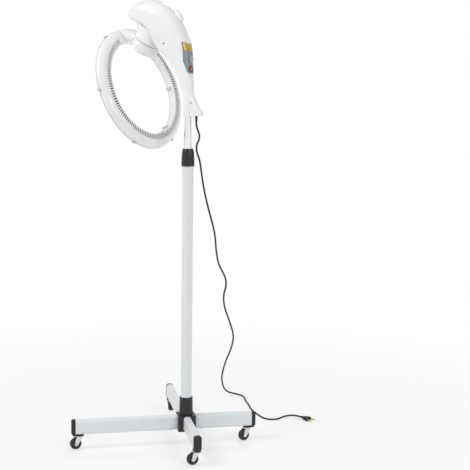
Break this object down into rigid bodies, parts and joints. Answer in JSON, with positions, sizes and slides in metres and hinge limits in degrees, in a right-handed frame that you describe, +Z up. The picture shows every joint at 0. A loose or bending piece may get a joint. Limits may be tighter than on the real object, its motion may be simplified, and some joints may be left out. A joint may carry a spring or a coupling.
{
  "type": "hair color processor",
  "caption": "Salon hair color processor: a heater ring orbits under a curved head on a telescoping pole with twist clamp, control panel, mains cord and cross base on casters.",
  "frame": {"origin": "pole axis at floor level", "axes": "+Z up along the pole, the head's nose points to -Y, the operator's panel faces +Y, +X is the machine's left-right axis"},
  "size_m": [0.8884, 0.5401, 1.524],
  "materials": {
    "leg_paint": "pale grey-white satin powder coat",
    "black_plastic": "satin black moulding",
    "mast_chrome": "polished tube",
    "hub_iron": "black satin enamel",
    "zinc": "bright zinc plate",
    "wheel_rubber": "black moulded tread",
    "white_gloss": "glossy white moulding",
    "grille_plastic": "glossy white slotted strip",
    "panel_grey": "blue-grey panel",
    "amber": "amber lamp window",
    "knob_silver": "silver-grey knob",
    "rocker_red": "orange-red rocker",
    "bronze": "sintered bronze and brass contacts",
    "gear_nylon": "natural nylon",
    "motor_steel": "plain steel can",
    "reflector_aluminium": "polished sheet",
    "quartz": "translucent quartz heater tube",
    "ceramic": "off-white ceramic",
    "guard_chrome": "chromed wire",
    "clip_white": "satin light grey clip",
    "cord_black": "black flexible cord and plug"
  },
  "bodies": {
    "base": {"hub_block": "hub_iron", "pole_collar": "black_plastic", "hub_bolts": "zinc", "tube_foot_plug": "black_plastic", "lower_tube": "leg_paint", "guide_bush": "black_plastic", "leg_front_right": "leg_paint", "leg_front_left": "leg_paint", "leg_rear_right": "leg_paint", "leg_rear_left": "leg_paint", "leg_cap_front_right": "black_plastic", "leg_cap_front_left": "black_plastic", "leg_cap_rear_right": "black_plastic", "leg_cap_rear_left": "black_plastic"},
    "clamp": {"clamp_sleeve": "black_plastic"},
    "mast": {"mast_tube": "mast_chrome", "mast_stop": "black_plastic", "thrust_plug": "black_plastic"},
    "head": {"housing_right": "white_gloss", "housing_left": "white_gloss", "spine_cap": "white_gloss", "housing_screws": "zinc", "stem_bush": "black_plastic", "control_panel": "panel_grey", "amber_lens": "amber", "timer_body": "black_plastic", "switch_body": "black_plastic", "terminal_block": "black_plastic", "neck_collar": "white_gloss", "shaft_bush": "bronze", "gear_motor": "motor_steel", "slip_ring_stator": "black_plastic", "cord_gland": "black_plastic", "mains_cord": "cord_black", "mains_plug": "cord_black"},
    "timer_dial": {"timer_knob": "knob_silver"},
    "mains_switch": {"rocker": "rocker_red"},
    "motor_pinion": {"pinion": "gear_nylon"},
    "orbiter": {"rotor_bowl": "white_gloss", "hollow_shaft": "zinc", "drive_gear": "gear_nylon", "slip_ring_rotor": "bronze", "ring_bracket": "white_gloss", "ring_cover": "white_gloss", "vent_grille": "grille_plastic", "reflector": "reflector_aluminium", "heater_tubes": "quartz", "tube_holders": "ceramic", "thermostat": "motor_steel", "wire_guard": "guard_chrome", "guard_clips": "clip_white", "ring_screws": "zinc"},
    "caster_front_right": {"caster_fork_front_right": "zinc"},
    "wheel_front_right": {"caster_wheel_front_right": "wheel_rubber"},
    "caster_front_left": {"caster_fork_front_left": "zinc"},
    "wheel_front_left": {"caster_wheel_front_left": "wheel_rubber"},
    "caster_rear_right": {"caster_fork_rear_right": "zinc"},
    "wheel_rear_right": {"caster_wheel_rear_right": "wheel_rubber"},
    "caster_rear_left": {"caster_fork_rear_left": "zinc"},
    "wheel_rear_left": {"caster_wheel_rear_left": "wheel_rubber"}
  },
  "joints": [
    {"name": "clamp_twist", "type": "hinge", "parent": "base", "child": "clamp", "pos_m": [0, 0, 1], "axis": [0, 0, 1], "range_deg": [0, 90]},
    {"name": "mast_slide", "type": "slide", "parent": "base", "child": "mast", "axis": [0, 0, 1], "range_m": [-0.095, 0.3], "deforming": ["mains_cord", "mains_plug"]},
    {"name": "head_swivel", "type": "hinge", "parent": "mast", "child": "head", "pos_m": [0, 0, 1.18], "axis": [0, 0, 1], "range_deg": [-170, 170], "deforming": ["mains_cord", "mains_plug"]},
    {"name": "ring_orbit", "type": "hinge", "parent": "head", "child": "orbiter", "pos_m": [0, -0.171, 1.3865], "axis": [0, -0.5446, -0.8387], "continuous": true},
    {"name": "pinion_spin", "type": "hinge", "parent": "head", "child": "motor_pinion", "pos_m": [0.0261, -0.171, 1.3865], "axis": [0, -0.5446, -0.8387], "continuous": true},
    {"name": "timer_turn", "type": "hinge", "parent": "head", "child": "timer_dial", "pos_m": [0, 0.012, 1.326], "axis": [0, -1, 0], "range_deg": [0, 300]},
    {"name": "rocker_tip", "type": "hinge", "parent": "head", "child": "mains_switch", "pos_m": [0, 0.0086, 1.2935], "axis": [1, 0, 0], "range_deg": [0, 14]},
    {"name": "swivel_front_right", "type": "hinge", "parent": "base", "child": "caster_front_right", "pos_m": [0.26092, -0.26092, 0.045], "axis": [0, 0, 1], "continuous": true},
    {"name": "roll_front_right", "type": "hinge", "parent": "caster_front_right", "child": "wheel_front_right", "pos_m": [0.27305, -0.26792, 0.02], "axis": [0.5, 0.866, 0], "continuous": true},
    {"name": "swivel_front_left", "type": "hinge", "parent": "base", "child": "caster_front_left", "pos_m": [-0.26092, -0.26092, 0.045], "axis": [0, 0, 1], "continuous": true},
    {"name": "roll_front_left", "type": "hinge", "parent": "caster_front_left", "child": "wheel_front_left", "pos_m": [-0.27361, -0.26684, 0.02], "axis": [0.4226, -0.9063, 0], "continuous": true},
    {"name": "swivel_rear_right", "type": "hinge", "parent": "base", "child": "caster_rear_right", "pos_m": [0.15486, 0.15486, 0.045], "axis": [0, 0, 1], "continuous": true},
    {"name": "roll_rear_right", "type": "hinge", "parent": "caster_rear_right", "child": "wheel_rear_right", "pos_m": [0.16646, 0.14703, 0.02], "axis": [0.5592, 0.829, 0], "continuous": true},
    {"name": "swivel_rear_left", "type": "hinge", "parent": "base", "child": "caster_rear_left", "pos_m": [-0.15486, 0.15486, 0.045], "axis": [0, 0, 1], "continuous": true},
    {"name": "roll_rear_left", "type": "hinge", "parent": "caster_rear_left", "child": "wheel_rear_left", "pos_m": [-0.14207, 0.14916, 0.02], "axis": [0.4067, 0.9135, 0], "continuous": true}
  ],
  "couplings": [
    {"joint": "pinion_spin", "follows": "ring_orbit", "ratio": -3.3333}
  ]
}
